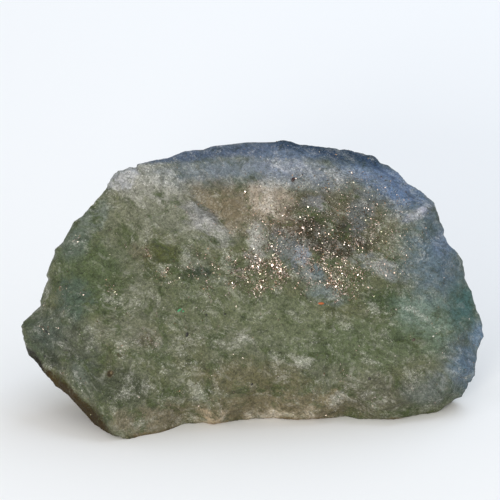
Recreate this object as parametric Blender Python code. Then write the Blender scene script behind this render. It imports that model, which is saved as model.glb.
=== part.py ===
"""Rough piece of green aventurine, one solid, resting on its flat lower break.

The stone is described in its face frame: u runs right along the broad face, v runs up it and w
stands out of it, all in millimetres from the heart of the stone. The face leans back by LEAN, and
the heart lies LIFT above the ground. The block is cleaved by flat fractures and its edges are worn.
Undulations, shallow flaked scoops, the ledge, the hollow and the rib are pressed in. The outline is
drawn to the measured contour and the foot of the face to its measured line, and the last cut is the
level base.
"""

import math

import bmesh
import bpy
import numpy as np
from mathutils import Matrix, Vector

MM = 0.001
BLOCK_SIZE = 120.0
LEAN = math.radians(22.0)
LIFT = 19.3

WORN_CELL = 0.9
WEAR_ROUNDS = 3
TRIANGLE_GOAL = 9600
CRUMB = 0.02
SMOOTH_BELOW = math.radians(28.0)

COLOUR = (0.156, 0.168, 0.127, 1.0)
ROUGHNESS = 0.45

# Each fracture: its bearing round the face (0 right, 90 up), the tilt of its normal away from
# straight out of the face, both in degrees, and its distance from the heart.
FRACTURES = {
    "broad face": (-18, 10.8, 9.9),
    "upper face": (80, 17, 10.4),
    "upper left face": (135, 20, 14.2),
    "left flank": (165, 48, 27.0),
    "left tip face": (200, 34, 27.5),
    "left rim": (153, 84, 32.7),
    "left tip": (190, 88, 39.6),
    "undercut": (226, 72, 36.5),
    "bottom rim": (270, 90, 28.5),
    "lower bevel": (290, 48, 21.6),
    "lower right bevel": (312, 62, 30.5),
    "lower right rim": (332, 84, 40.0),
    "lower right face": (345, 48, 29.5),
    "right face": (10, 40, 23.8),
    "right end": (0, 90, 40.0),
    "upper right rim": (17, 80, 35.9),
    "right shoulder": (27, 82, 34.6),
    "shoulder face": (40, 50, 27.0),
    "shoulder rim": (54, 80, 30.8),
    "top right slope": (68, 55, 21.9),
    "top right edge": (77, 84, 26.3),
    "top edge": (96, 82, 25.2),
    "top left slope": (92, 60, 22.3),
    "top left edge": (111, 84, 26.6),
    "upper left corner": (136, 82, 31.5),
    "back face": (75, 158, 16.5),
    "back upper slope": (98, 122, 19.5),
    "back left face": (185, 140, 24.0),
    "back left foot": (232, 118, 29.0),
    "back right face": (352, 142, 25.5),
    "back right slope": (42, 122, 26.0),
    "back right foot": (318, 118, 32.0),
    "back left slope": (140, 124, 25.0),
    "back foot": (275, 140, 23.0),
}

# The contour of the stone seen square on, as (u, v) points: clockwise from the left tip over the
# top to the right end, then below the base cut and back up the undercut.
CONTOUR = [
    (-40.2, -6.4), (-39.9, -5.4), (-38.6, -3.9), (-37.1, -2.6), (-36.4, 0.0), (-35.7, 1.9),
    (-35.9, 2.6), (-35.3, 4.3), (-34.5, 6.1), (-34.3, 7.3), (-32.7, 8.8), (-31.0, 11.9),
    (-29.4, 13.1), (-25.6, 17.3), (-25.0, 18.8), (-23.7, 20.6), (-21.4, 21.4), (-20.6, 21.3),
    (-19.8, 22.0), (-14.4, 23.0), (-11.7, 24.1), (-8.4, 24.4), (-7.1, 24.9), (-0.9, 25.6),
    (3.1, 25.6), (5.0, 26.0), (6.4, 25.8), (7.7, 25.3), (13.7, 24.7), (16.4, 24.4),
    (20.5, 23.5), (21.4, 23.0), (22.1, 22.1), (23.3, 21.8), (25.2, 20.4), (26.6, 18.7),
    (28.9, 17.4), (31.3, 15.3), (32.6, 11.6), (33.2, 10.2), (33.1, 9.5), (34.1, 7.9),
    (35.3, 6.9), (36.4, 5.1), (36.9, 1.9), (37.9, 0.0), (39.1, -4.1), (39.7, -4.9),
    (39.9, -7.0), (40.2, -7.8), (39.0, -10.4), (38.5, -14.8), (36.3, -18.5), (30.6, -21.5),
    (25.0, -24.6), (16.0, -28.4), (-0.5, -28.4), (-16.1, -29.4), (-21.0, -29.0), (-24.0, -27.2),
    (-25.9, -24.8), (-28.8, -21.6), (-31.8, -18.4), (-34.1, -16.7), (-36.8, -13.6), (-39.0, -11.2),
    (-39.8, -8.4),
]
CONTOUR_STEP = 2.0
FIT_ROUNDS = 3

# Where the face meets the ground, as (u, v) points of its lower edge seen square on, and how high
# above the ground the face is moved with it.
FOOT = [
    (-25.0, -24.9), (-23.0, -25.6), (-20.7, -25.6), (-19.6, -25.1), (-15.9, -24.6), (-14.0, -23.8),
    (-12.3, -23.2), (-8.8, -23.0), (-6.7, -23.3), (-2.0, -22.5), (3.9, -22.2), (6.5, -22.6),
    (12.9, -22.3), (16.0, -21.9), (18.2, -22.4), (25.0, -22.5), (27.6, -21.9), (30.6, -21.4),
]
FOOT_STEP = 2.5
FOOT_NEAR = 0.6
FOOT_RISE = 11.0
FOOT_FADE = 6.0

# The ledge of the upper left block, with the hollow on its right, as a line on the face.
LEDGE_TOP = (-13.4, 19.4)
LEDGE_FOOT = (-3.6, 8.0)
LEDGE_LIP = 0.5
HOLLOW_DEPTH = 1.4
HOLLOW_WIDTH = 5.5

RIB_TOP = (1.6, 19.1)
RIB_FOOT = (2.6, 9.4)
RIB_HEIGHT = 0.6
RIB_WIDTH = 2.0

# Undulations of the broken faces: mean wavelength, height and seed.
UNDULATIONS = [(24.0, 0.30, 1), (11.0, 0.16, 2), (5.5, 0.08, 3)]
WAVES_EACH = 24

# Shallow scoops flaked off all over the break, with sharp ridges between them: how many, how
# hollow for each square millimetre of distance, how tilted, their seed, and the rough half lengths
# of the stone over which they are spread.
SCOOP_COUNT = 420
SCOOP_HOLLOW = 0.024
SCOOP_TILT = 0.10
SCOOP_SEED = 71
SPREAD = (40.0, 24.0, 15.0)

# How closely the pull of the contour keeps to the rim of the stone.
RIM_PULL = 3


def clear_scene():
    for thing in list(bpy.data.objects):
        bpy.data.objects.remove(thing, do_unlink=True)


def fracture_normal(bearing, tilt):
    turn = math.radians(bearing)
    lean = math.radians(tilt)
    return Vector((math.sin(lean) * math.cos(turn), math.sin(lean) * math.sin(turn), math.cos(lean)))


def cleave(body, normal, distance):
    """Cut away all that lies outside one plane, and close the cut with a flat face."""
    everything = body.verts[:] + body.edges[:] + body.faces[:]
    cut = bmesh.ops.bisect_plane(
        body, geom=everything, plane_co=normal * distance, plane_no=normal, clear_outer=True)
    edges = [item for item in cut["geom_cut"] if isinstance(item, bmesh.types.BMEdge)]
    if edges:
        bmesh.ops.edgeloop_fill(body, edges=edges)


def cleaved_block():
    """The block with every fracture cut, as a mesh in the face frame."""
    body = bmesh.new()
    bmesh.ops.create_cube(body, size=BLOCK_SIZE * MM)
    for bearing, tilt, distance in FRACTURES.values():
        cleave(body, fracture_normal(bearing, tilt), distance * MM)
    mesh = bpy.data.meshes.new("stone")
    body.to_mesh(mesh)
    body.free()
    return mesh


def bake(stone):
    """Replace the stone's mesh by the result of its modifiers."""
    result = bpy.data.meshes.new_from_object(
        stone.evaluated_get(bpy.context.evaluated_depsgraph_get()))
    stone.modifiers.clear()
    old = stone.data
    stone.data = result
    bpy.data.meshes.remove(old)


def wear_edges(stone):
    """Turn the sharp block into even small faces with slightly rounded edges."""
    remesh = stone.modifiers.new("worn", "REMESH")
    remesh.mode = "VOXEL"
    remesh.voxel_size = WORN_CELL * MM
    wear = stone.modifiers.new("wear", "SMOOTH")
    wear.factor = 0.5
    wear.iterations = WEAR_ROUNDS
    bake(stone)


def ramp(values, low, high):
    """Rise smoothly from 0 at low to 1 at high."""
    share = np.clip((values - low) / (high - low), 0.0, 1.0)
    return share * share * (3.0 - 2.0 * share)


def waves(points, length, seed):
    """Sum of plane waves of about one length, in random directions, of unit height."""
    random = np.random.default_rng(seed)
    directions = random.normal(size=(WAVES_EACH, 3))
    directions /= np.linalg.norm(directions, axis=1, keepdims=True)
    lengths = length * random.uniform(0.7, 1.5, WAVES_EACH)
    phases = random.uniform(0.0, 2.0 * np.pi, WAVES_EACH)
    turns = points @ (directions / lengths[:, None]).T * 2.0 * np.pi
    return np.sin(turns + phases).sum(axis=1) / np.sqrt(WAVES_EACH)


def above_ground(points):
    return points[:, 1] * math.cos(LEAN) + points[:, 2] * math.sin(LEAN) + LIFT


def widest_reach(points, bearings):
    """Largest distance from the heart, along the face, found near each bearing."""
    angle = np.arctan2(points[:, 1], points[:, 0])
    reach = np.hypot(points[:, 0], points[:, 1])
    half_step = (bearings[1] - bearings[0]) / 2.0
    return np.array([reach[np.abs(angle - bearing) <= half_step].max() for bearing in bearings])


def contour_reach(bearings):
    """Distance from the heart to the contour along each bearing."""
    corners = np.array(CONTOUR)
    order = np.argsort(np.arctan2(corners[:, 1], corners[:, 0]))
    start = corners[np.roll(order, 1)]
    end = corners[order]
    side = end - start
    reach = np.empty(len(bearings))
    for place, bearing in enumerate(bearings):
        ray = np.array((math.cos(bearing), math.sin(bearing)))
        across = ray[0] * side[:, 1] - ray[1] * side[:, 0]
        along = (start[:, 0] * side[:, 1] - start[:, 1] * side[:, 0]) / across
        share = (start[:, 0] * ray[1] - start[:, 1] * ray[0]) / across
        hit = (along > 0.0) & (share >= -1e-9) & (share <= 1.0 + 1e-9)
        reach[place] = along[hit].max()
    return reach


def draw_to_contour(points):
    """Scale the stone along the face so that its outermost points meet the contour."""
    bearings = np.radians(np.arange(CONTOUR_STEP / 2.0 - 180.0, 180.0, CONTOUR_STEP))
    widest = widest_reach(points, bearings)
    ratio = contour_reach(bearings) / widest
    angle = np.arctan2(points[:, 1], points[:, 0])
    here = np.interp(angle, bearings, ratio, period=2.0 * np.pi)
    rim = np.interp(angle, bearings, widest, period=2.0 * np.pi)
    nearness = np.clip(np.hypot(points[:, 0], points[:, 1]) / rim, 0.0, 1.0)
    scale = 1.0 + (here - 1.0) * nearness ** RIM_PULL
    points[:, 0] *= scale
    points[:, 1] *= scale


def draw_to_foot(points):
    """Slide the lower part of the face level, to or from the viewer, so that it meets the foot line.

    On the ground a point seen at v lies v plus LIFT times the cosine of LEAN, over the sine of LEAN,
    away from the viewer. The slide is full on the ground and gone at FOOT_RISE above it.
    """
    above = above_ground(points)
    back = points[:, 1] * math.sin(LEAN) - points[:, 2] * math.cos(LEAN)
    across, seen = np.array(FOOT).T
    middles = np.arange(across[0], across[-1], FOOT_STEP)
    ground = np.abs(above) < FOOT_NEAR
    found = np.array([back[ground & (np.abs(points[:, 0] - middle) < FOOT_STEP / 2.0)].min()
                      for middle in middles])
    wanted = (np.interp(middles, across, seen) + LIFT * math.cos(LEAN)) / math.sin(LEAN)
    slide = np.interp(points[:, 0], middles, wanted - found)
    slide *= 1.0 - ramp(np.abs(above), 0.0, FOOT_RISE)
    slide *= ramp(points[:, 0], across[0] - FOOT_FADE, across[0])
    slide *= 1.0 - ramp(points[:, 0], across[-1], across[-1] + FOOT_FADE)
    slide *= 1.0 - ramp(back, -6.0, 4.0)
    points[:, 1] += slide * math.sin(LEAN)
    points[:, 2] -= slide * math.cos(LEAN)


def line_position(points, top, foot):
    """Distance down a line on the face, distance to its right, and the line's length."""
    top = np.array(top)
    run = np.array(foot) - top
    length = np.hypot(*run)
    run = run / length
    offset = points[:, :2] - top
    return offset @ run, offset @ np.array((-run[1], run[0])), length


def face_relief(points):
    """Height of the ledge, the hollow and the rib over the plain face."""
    down, right, length = line_position(points, LEDGE_TOP, LEDGE_FOOT)
    reach = ramp(down, -3.0, 4.0) * (1.0 - ramp(down, length - 4.0, length + 3.0))
    wall = ramp(right, -1.2, 1.2)
    height = -HOLLOW_DEPTH * reach * wall * np.exp(-np.clip(right, 0.0, None) / HOLLOW_WIDTH)
    height += LEDGE_LIP * reach * (1.0 - wall) * np.exp(np.clip(right, None, 0.0) / HOLLOW_WIDTH)
    down, right, length = line_position(points, RIB_TOP, RIB_FOOT)
    reach = ramp(down, -2.0, 4.0) * (1.0 - ramp(down, length - 4.0, length + 2.0))
    height += RIB_HEIGHT * reach * np.exp(-(right / RIB_WIDTH) ** 2)
    return height * ramp(points[:, 2], 0.0, 5.0)


def scoop_middles(random):
    """Places on the plain block where scoops lie: where random rays from the heart leave it."""
    rays = random.normal(size=(SCOOP_COUNT, 3)) * np.array(SPREAD)
    rays /= np.linalg.norm(rays, axis=1, keepdims=True)
    normals = np.array([fracture_normal(bearing, tilt) for bearing, tilt, _ in FRACTURES.values()])
    distances = np.array([distance for _, _, distance in FRACTURES.values()])
    return rays / ((rays @ normals.T) / distances).max(axis=1)[:, None]


def scoops(points):
    """Height of the lowest of many tilted bowls side by side.

    A bowl's height is SCOOP_HOLLOW times the squared distance from its middle plus a slope of its
    own, worked out for all bowls at once as a product of the point and bowl tables.
    """
    random = np.random.default_rng(SCOOP_SEED)
    middles = scoop_middles(random)
    slopes = random.normal(size=middles.shape) * SCOOP_TILT
    flat_part = slopes - 2.0 * SCOOP_HOLLOW * middles
    still_part = (SCOOP_HOLLOW * middles ** 2 - slopes * middles).sum(axis=1)
    lowest = (points @ flat_part.T + still_part).min(axis=1)
    lowest += SCOOP_HOLLOW * (points ** 2).sum(axis=1)
    return lowest - lowest.mean()


def roughen(points):
    """Move the surface in and out, along the line to the heart, by undulations and scoops."""
    outward = points / np.linalg.norm(points, axis=1, keepdims=True)
    swell = sum(height * waves(points, length, seed) for length, height, seed in UNDULATIONS)
    points += outward * (swell + scoops(points))[:, None]


def shape_surface(mesh):
    """Move the vertices, in millimetres, to the measured contour and relief."""
    points = np.empty(len(mesh.vertices) * 3, dtype=np.float32)
    mesh.vertices.foreach_get("co", points)
    points = points.reshape(-1, 3).astype(float) / MM
    roughen(points)
    points[:, 2] += face_relief(points)
    for _ in range(FIT_ROUNDS):
        draw_to_contour(points)
    draw_to_foot(points)
    mesh.vertices.foreach_set("co", (points * MM).ravel())
    mesh.update()


def thin_out(stone):
    """Merge faces where the surface is nearly flat, down to the triangle goal."""
    stone.data.calc_loop_triangles()
    thin = stone.modifiers.new("thin", "DECIMATE")
    thin.ratio = TRIANGLE_GOAL / len(stone.data.loop_triangles)
    bake(stone)


def stand_on_base(mesh):
    """Lean the stone back, lift it over the ground and cut its level base."""
    mesh.transform(Matrix.Translation((0.0, 0.0, LIFT * MM)) @ Matrix.Rotation(math.pi / 2 - LEAN, 4, "X"))
    body = bmesh.new()
    body.from_mesh(mesh)
    cleave(body, Vector((0.0, 0.0, -1.0)), 0.0)
    bmesh.ops.dissolve_degenerate(body, dist=CRUMB * MM, edges=body.edges[:])
    bmesh.ops.triangulate(body, faces=[face for face in body.faces if len(face.verts) > 3])
    body.to_mesh(mesh)
    body.free()


def aventurine():
    material = bpy.data.materials.new("aventurine")
    material.use_nodes = True
    shader = material.node_tree.nodes["Principled BSDF"]
    shader.inputs["Base Color"].default_value = COLOUR
    shader.inputs["Roughness"].default_value = ROUGHNESS
    shader.inputs["Metallic"].default_value = 0.0
    return material


def make_stone():
    stone = bpy.data.objects.new("stone", cleaved_block())
    bpy.context.scene.collection.objects.link(stone)
    wear_edges(stone)
    shape_surface(stone.data)
    thin_out(stone)
    stand_on_base(stone.data)
    stone.data.materials.append(aventurine())
    stone.data.shade_smooth()
    stone.data.set_sharp_from_angle(angle=SMOOTH_BELOW)
    return stone


clear_scene()
make_stone()
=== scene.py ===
"""Rough green aventurine, dressed: the broken surface, its mica plates and its mineral colours.

The stone is described in its face frame, as its solid is: u runs right along the broad face, v runs
up it and w stands out of it, in millimetres from the heart of the stone. The face leans back by
LEAN, and the heart lies LIFT above the ground.
"""

import math

import bpy
import numpy as np
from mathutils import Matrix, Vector


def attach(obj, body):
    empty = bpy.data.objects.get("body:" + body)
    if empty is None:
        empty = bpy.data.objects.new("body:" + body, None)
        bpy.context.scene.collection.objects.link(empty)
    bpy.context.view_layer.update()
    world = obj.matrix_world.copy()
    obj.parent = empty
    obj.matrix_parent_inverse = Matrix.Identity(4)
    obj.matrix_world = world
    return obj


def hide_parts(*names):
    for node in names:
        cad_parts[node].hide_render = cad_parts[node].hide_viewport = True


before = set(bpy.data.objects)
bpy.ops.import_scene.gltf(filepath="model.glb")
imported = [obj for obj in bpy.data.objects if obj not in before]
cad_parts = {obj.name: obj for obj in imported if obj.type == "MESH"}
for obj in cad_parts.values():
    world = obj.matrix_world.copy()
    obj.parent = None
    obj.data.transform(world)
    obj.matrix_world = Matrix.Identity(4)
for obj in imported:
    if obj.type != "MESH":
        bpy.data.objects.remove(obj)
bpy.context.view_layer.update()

MM = 0.001
LEAN = math.radians(22.0)
LIFT = 19.3

# The even box whose points are drawn in to the stone: half lengths and cells along X, Y and Z, and
# the decimals to which points on its seams agree.
BOX_HALF = (40.0, 18.5, 22.0)
BOX_CELLS = (190, 86, 121)
SEAM_DECIMALS = 5

# Each fracture: its bearing round the face (0 right, 90 up), the tilt of its normal away from
# straight out of the face, both in degrees, and its distance from the heart.
FRACTURES = {
    "broad face": (-18, 10.8, 9.9),
    "upper face": (80, 17, 10.4),
    "upper left face": (135, 20, 14.2),
    "left flank": (165, 48, 27.0),
    "left tip face": (200, 34, 27.5),
    "left rim": (153, 84, 32.7),
    "left tip": (190, 88, 39.6),
    "undercut": (226, 72, 36.5),
    "bottom rim": (270, 90, 28.5),
    "lower bevel": (290, 48, 21.6),
    "lower right bevel": (312, 62, 30.5),
    "lower right rim": (332, 84, 40.0),
    "lower right face": (345, 48, 29.5),
    "right face": (10, 40, 23.8),
    "right end": (0, 90, 40.0),
    "upper right rim": (17, 80, 35.9),
    "right shoulder": (27, 82, 34.6),
    "shoulder face": (40, 50, 27.0),
    "shoulder rim": (54, 80, 30.8),
    "top right slope": (68, 55, 21.9),
    "top right edge": (77, 84, 26.3),
    "top edge": (96, 82, 25.2),
    "top left slope": (92, 60, 22.3),
    "top left edge": (111, 84, 26.6),
    "upper left corner": (136, 82, 31.5),
    "back face": (75, 158, 16.5),
    "back upper slope": (98, 122, 19.5),
    "back left face": (185, 140, 24.0),
    "back left foot": (232, 118, 29.0),
    "back right face": (352, 142, 25.5),
    "back right slope": (42, 122, 26.0),
    "back right foot": (318, 118, 32.0),
    "back left slope": (140, 124, 25.0),
    "back foot": (275, 140, 23.0),
}

# The higher the power, the crisper the edges between fractures.
EDGE_CRISPNESS = 150

# The contour of the stone seen square on, as (u, v) points: clockwise from the left tip over the
# top to the right end, then below the base cut and back up the undercut. The stone is drawn to it
# at even steps of the bearing, a few times over. RIM_PULL is the power by which this fades inwards,
# and ROUNDING lets a bearing that passes a corner meet one of its sides.
CONTOUR = [
    (-40.2, -6.4), (-39.9, -5.4), (-38.6, -3.9), (-37.1, -2.6), (-36.4, 0.0), (-35.7, 1.9),
    (-35.9, 2.6), (-35.3, 4.3), (-34.5, 6.1), (-34.3, 7.3), (-32.7, 8.8), (-31.0, 11.9),
    (-29.4, 13.1), (-25.6, 17.3), (-25.0, 18.8), (-23.7, 20.6), (-21.4, 21.4), (-20.6, 21.3),
    (-19.8, 22.0), (-14.4, 23.0), (-11.7, 24.1), (-8.4, 24.4), (-7.1, 24.9), (-0.9, 25.6),
    (3.1, 25.6), (5.0, 26.0), (6.4, 25.8), (7.7, 25.3), (13.7, 24.7), (16.4, 24.4),
    (20.5, 23.5), (21.4, 23.0), (22.1, 22.1), (23.3, 21.8), (25.2, 20.4), (26.6, 18.7),
    (28.9, 17.4), (31.3, 15.3), (32.6, 11.6), (33.2, 10.2), (33.1, 9.5), (34.1, 7.9),
    (35.3, 6.9), (36.4, 5.1), (36.9, 1.9), (37.9, 0.0), (39.1, -4.1), (39.7, -4.9),
    (39.9, -7.0), (40.2, -7.8), (39.0, -10.4), (38.5, -14.8), (36.3, -18.5), (30.6, -21.5),
    (25.0, -24.6), (16.0, -28.4), (-0.5, -28.4), (-16.1, -29.4), (-21.0, -29.0), (-24.0, -27.2),
    (-25.9, -24.8), (-28.8, -21.6), (-31.8, -18.4), (-34.1, -16.7), (-36.8, -13.6), (-39.0, -11.2),
    (-39.8, -8.4),
]
CONTOUR_STEP = 1.2
FIT_ROUNDS = 3
RIM_PULL = 3
ROUNDING = 1e-9

# Where the face meets the ground, as (u, v) points of its lower edge seen square on. The line is
# found step by step along u from the points near the ground. The face is moved with it up to the
# rise, less and less past both ends and from front to back.
FOOT = [
    (-25.0, -24.9), (-23.0, -25.6), (-20.7, -25.6), (-19.6, -25.1), (-15.9, -24.6), (-14.0, -23.8),
    (-12.3, -23.2), (-8.8, -23.0), (-6.7, -23.3), (-2.0, -22.5), (3.9, -22.2), (6.5, -22.6),
    (12.9, -22.3), (16.0, -21.9), (18.2, -22.4), (25.0, -22.5), (27.6, -21.9), (30.6, -21.4),
]
FOOT_STEP = 1.2
FOOT_NEAR = 0.3
FOOT_RISE = 11.0
FOOT_FADE = 6.0
FOOT_FRONT = -6.0
FOOT_BACK = 4.0

# The ledge, with the hollow to its right, and the rib: each runs down a line on the face and dies
# away past its ends, from LINE_RISE inside them, and towards the sides, from a w of RELIEF_RISE.
# The ledge's line wanders (wavelength, width and seed).
LEDGE_TOP = (-13.4, 19.4)
LEDGE_FOOT = (-3.6, 8.0)
LEDGE_PAST = 3.0
LEDGE_LIP = 0.28
LEDGE_WALL = 1.0
LEDGE_WANDER = [(6.0, 0.45, 41), (2.6, 0.25, 42)]
HOLLOW_DEPTH = 1.4
HOLLOW_WIDTH = 5.5
RIB_TOP = (1.6, 19.1)
RIB_FOOT = (2.6, 9.4)
RIB_PAST = 2.0
RIB_HEIGHT = 0.6
RIB_WIDTH = 2.0
LINE_RISE = 4.0
RELIEF_RISE = 5.0

# Undulations of the broken faces: wavelength, height and seed. Each is a sum of some waves, whose
# lengths differ by these shares.
UNDULATIONS = [(24.0, 0.30, 1), (11.0, 0.16, 2), (5.5, 0.08, 3)]
WAVES_EACH = 24
WAVE_LENGTHS = (0.7, 1.5)

# Each fracture surface wanders a little by itself (wavelength and height), with seeds of its own,
# which breaks up the edges where two meet.
WANDER = [(9.0, 0.26), (3.4, 0.12)]
WANDER_SEED = 100
SEEDS_EACH = 7

# Shallow scoops flaked off all over the break, with sharp ridges between them: how many, how
# hollow for each square millimetre of distance, how tilted, and their seed. They are spread over
# the rough half lengths of the stone, and worked out for a block of points at a time.
SCOOPS = (420, 0.024, 0.10, 71)
SMALL_SCOOPS = (1700, 0.050, 0.09, 72)
SPREAD = (40.0, 24.0, 15.0)
BLOCK = 8192

# Thin steps where the break follows the mica layers: their normal, spacing, height and where each
# begins to drop. They wander, and lie in patches (wavelength, seed and range).
LAYER_NORMAL = (0.42, 0.86, 0.28)
STEP_SPACING = 3.1
STEP_HEIGHT = 0.26
STEP_DROP = 0.8
STEP_WANDER = [(9.0, 0.75, 51), (3.2, 0.28, 52)]
STEP_PATCHES = (12.0, 53)
PATCH_RANGE = (-0.4, 1.1)
CRUMBS = [(1.7, 0.030, 61)]


def ramp(values, low, high):
    """Rise smoothly from 0 at low to 1 at high."""
    share = np.clip((values - low) / (high - low), 0.0, 1.0)
    return share * share * (3.0 - 2.0 * share)


def unit(vectors):
    return vectors / np.linalg.norm(vectors, axis=1, keepdims=True)


def waves(points, length, seed):
    """Sum of plane waves of about one length, in random directions, over the root of their number."""
    random = np.random.default_rng(seed)
    directions = unit(random.normal(size=(WAVES_EACH, 3)))
    lengths = length * random.uniform(*WAVE_LENGTHS, WAVES_EACH)
    phases = random.uniform(0.0, 2.0 * np.pi, WAVES_EACH)
    turns = points @ (directions / lengths[:, None]).T * 2.0 * np.pi
    return np.sin(turns + phases).sum(axis=1) / np.sqrt(WAVES_EACH)


def swell(points, layers):
    """Sum of waves, each given by its length, height and seed."""
    return sum(height * waves(points, length, seed) for length, height, seed in layers)


def to_face(points):
    """Turn points from the ground frame to the face frame, both from the heart."""
    x, y, z = points.T
    return np.stack((x, y * math.sin(LEAN) + z * math.cos(LEAN),
                     z * math.sin(LEAN) - y * math.cos(LEAN)), axis=-1)


def to_ground(points):
    """Turn points from the face frame to the ground frame, both from the heart."""
    u, v, w = points.T
    return np.stack((u, v * math.sin(LEAN) - w * math.cos(LEAN),
                     v * math.cos(LEAN) + w * math.sin(LEAN)), axis=-1)


def box_grid():
    """Points on the six sides of a box, with the quads between them and the seams merged.

    Each side is a grid of two parameters; the third coordinate is held at plus or minus its half
    length. Points that two sides share are found by their rounded places and kept once.
    """
    lines = [np.linspace(-half, half, cells + 1) for half, cells in zip(BOX_HALF, BOX_CELLS)]
    points, quads, count = [], [], 0
    for held in range(3):
        first, second = [axis for axis in range(3) if axis != held]
        for side in (-1.0, 1.0):
            grid = np.meshgrid(lines[first], lines[second], indexing="ij")
            place = np.full(grid[0].shape + (3,), side * BOX_HALF[held])
            place[..., first], place[..., second] = grid
            index = count + np.arange(grid[0].size).reshape(grid[0].shape)
            corners = [index[:-1, :-1], index[1:, :-1], index[1:, 1:], index[:-1, 1:]]
            outward = side if held != 1 else -side
            quads.append(np.stack(corners[::int(outward)], axis=-1).reshape(-1, 4))
            points.append(place.reshape(-1, 3))
            count += grid[0].size
    points = np.concatenate(points)
    rounded = np.round(points, SEAM_DECIMALS)
    _, keep, merged = np.unique(rounded, axis=0, return_index=True, return_inverse=True)
    return points[keep], merged.ravel()[np.concatenate(quads)]


def fracture_planes():
    """The unit normal of each fracture, and its distance from the heart."""
    bearing, tilt, distance = np.array(list(FRACTURES.values()), dtype=float).T
    bearing, tilt = np.radians(bearing), np.radians(tilt)
    across = np.sin(tilt)
    return np.stack((across * np.cos(bearing), across * np.sin(bearing), np.cos(tilt)), axis=-1), distance


def cleaved(directions):
    """Draw each direction out to the nearest fracture, with edges slightly rounded.

    One over the distance is the power mean of one over the distances to all fracture planes that
    the direction meets, with a high power, so the nearest plane wins and edges are narrow curves.
    Each plane's own wander is read at the place where the plain planes are met.
    """
    normals, distances = fracture_planes()
    facing = np.clip(directions @ normals.T, 0.0, None)
    places = directions / (facing / distances).max(axis=1, keepdims=True)
    for number in range(len(distances)):
        seed = WANDER_SEED + SEEDS_EACH * number
        drift = sum(height * waves(places, length, seed + step)
                    for step, (length, height) in enumerate(WANDER))
        facing[:, number] /= distances[number] + drift
    nearest = facing.max(axis=1, keepdims=True)
    blend = ((facing / nearest) ** EDGE_CRISPNESS).sum(axis=1) ** (1.0 / EDGE_CRISPNESS)
    return directions / (nearest[:, 0] * blend)[:, None]


def above_ground(points):
    """Height of points of the face frame above the ground."""
    return points[:, 1] * math.cos(LEAN) + points[:, 2] * math.sin(LEAN) + LIFT


def widest_reach(points, bearings):
    """Largest distance from the heart, along the face, found near each bearing."""
    angle = np.arctan2(points[:, 1], points[:, 0])
    reach = np.hypot(points[:, 0], points[:, 1])
    half_step = (bearings[1] - bearings[0]) / 2.0
    return np.array([reach[np.abs(angle - bearing) <= half_step].max() for bearing in bearings])


def contour_reach(bearings):
    """Distance from the heart to the contour along each bearing: where the ray meets a side."""
    corners = np.array(CONTOUR)
    order = np.argsort(np.arctan2(corners[:, 1], corners[:, 0]))
    start = corners[np.roll(order, 1)]
    side = corners[order] - start
    ray = np.stack((np.cos(bearings), np.sin(bearings)), axis=-1)[:, None]
    across = ray[..., 0] * side[:, 1] - ray[..., 1] * side[:, 0]
    along = (start[:, 0] * side[:, 1] - start[:, 1] * side[:, 0]) / across
    share = (start[:, 0] * ray[..., 1] - start[:, 1] * ray[..., 0]) / across
    hit = (along > 0.0) & (share >= -ROUNDING) & (share <= 1.0 + ROUNDING)
    return np.where(hit, along, 0.0).max(axis=1)


def draw_to_contour(points):
    """Scale the stone along the face so that its outermost points meet the contour."""
    bearings = np.radians(np.arange(CONTOUR_STEP / 2.0 - 180.0, 180.0, CONTOUR_STEP))
    widest = widest_reach(points, bearings)
    ratio = contour_reach(bearings) / widest
    angle = np.arctan2(points[:, 1], points[:, 0])
    here = np.interp(angle, bearings, ratio, period=2.0 * np.pi)
    rim = np.interp(angle, bearings, widest, period=2.0 * np.pi)
    nearness = np.clip(np.hypot(points[:, 0], points[:, 1]) / rim, 0.0, 1.0)
    scale = 1.0 + (here - 1.0) * nearness ** RIM_PULL
    points[:, 0] *= scale
    points[:, 1] *= scale


def draw_to_foot(points):
    """Slide the lower part of the face level, to or from the viewer, so that it meets the foot line.

    On the ground a point seen at v lies v plus LIFT times the cosine of LEAN, over the sine of LEAN,
    away from the viewer. The slide is full on the ground and gone at FOOT_RISE above it.
    """
    above = above_ground(points)
    back = points[:, 1] * math.sin(LEAN) - points[:, 2] * math.cos(LEAN)
    across, seen = np.array(FOOT).T
    middles = np.arange(across[0], across[-1], FOOT_STEP)
    ground = np.abs(above) < FOOT_NEAR
    found = np.array([back[ground & (np.abs(points[:, 0] - middle) < FOOT_STEP / 2.0)].min()
                      for middle in middles])
    wanted = (np.interp(middles, across, seen) + LIFT * math.cos(LEAN)) / math.sin(LEAN)
    slide = np.interp(points[:, 0], middles, wanted - found)
    slide *= 1.0 - ramp(np.abs(above), 0.0, FOOT_RISE)
    slide *= ramp(points[:, 0], across[0] - FOOT_FADE, across[0])
    slide *= 1.0 - ramp(points[:, 0], across[-1], across[-1] + FOOT_FADE)
    slide *= 1.0 - ramp(back, FOOT_FRONT, FOOT_BACK)
    points[:, 1] += slide * math.sin(LEAN)
    points[:, 2] -= slide * math.cos(LEAN)


def line_position(points, top, foot):
    """Distance down a line on the face, distance to its right, and the line's length."""
    top = np.array(top)
    run = np.array(foot) - top
    length = np.hypot(*run)
    run = run / length
    offset = points[:, :2] - top
    return offset @ run, offset @ np.array((-run[1], run[0])), length


def between_ends(down, length, past):
    """One along the middle of a line, falling to zero at a distance past each end."""
    return ramp(down, -past, LINE_RISE) * (1.0 - ramp(down, length - LINE_RISE, length + past))


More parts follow.
